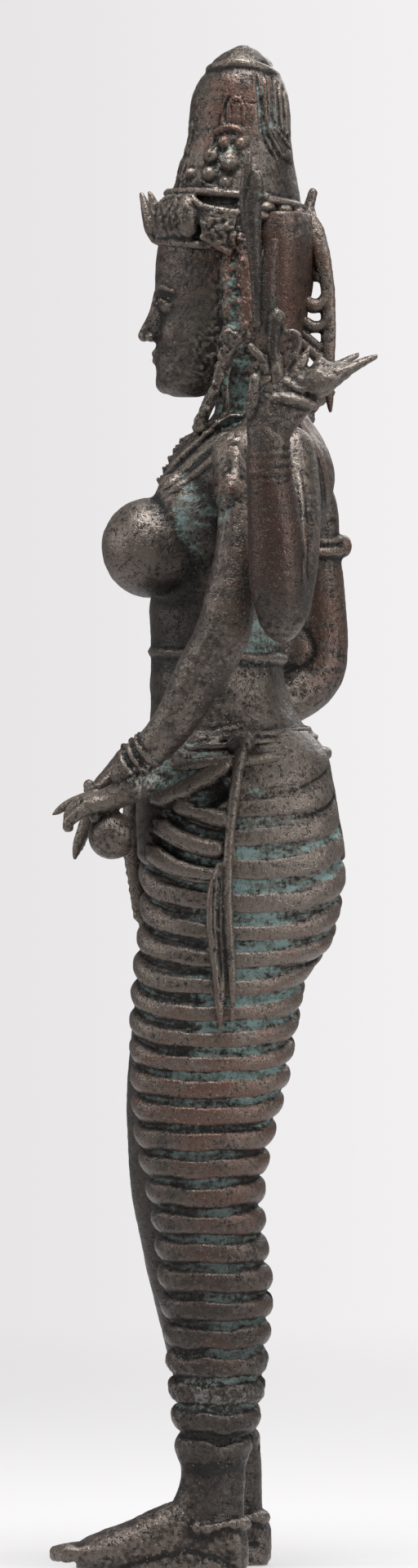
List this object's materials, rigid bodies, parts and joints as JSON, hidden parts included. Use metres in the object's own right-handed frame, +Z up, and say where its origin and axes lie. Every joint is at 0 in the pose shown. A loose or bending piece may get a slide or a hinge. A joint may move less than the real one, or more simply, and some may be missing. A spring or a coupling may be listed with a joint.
{
  "type": "standing goddess statue",
  "caption": "Slender four-armed standing goddess in dark patinated bronze, with a tall crown, heavy ringed skirt and raised rear hands, resting on her own flat soles",
  "frame": {"origin": "middle of the figure's bounding box, on the ground plane under her soles", "axes": "+Z up, she faces -Y, her own left side is +X"},
  "size_m": [0.2356, 0.1594, 0.7465],
  "materials": {
    "dark_bronze": "old cast bronze with a dark brown patina, verdigris in the grooves and pale dry crust in places"
  },
  "bodies": {
    "root": {"parvati_statue": "dark_bronze"}
  },
  "joints": []
}
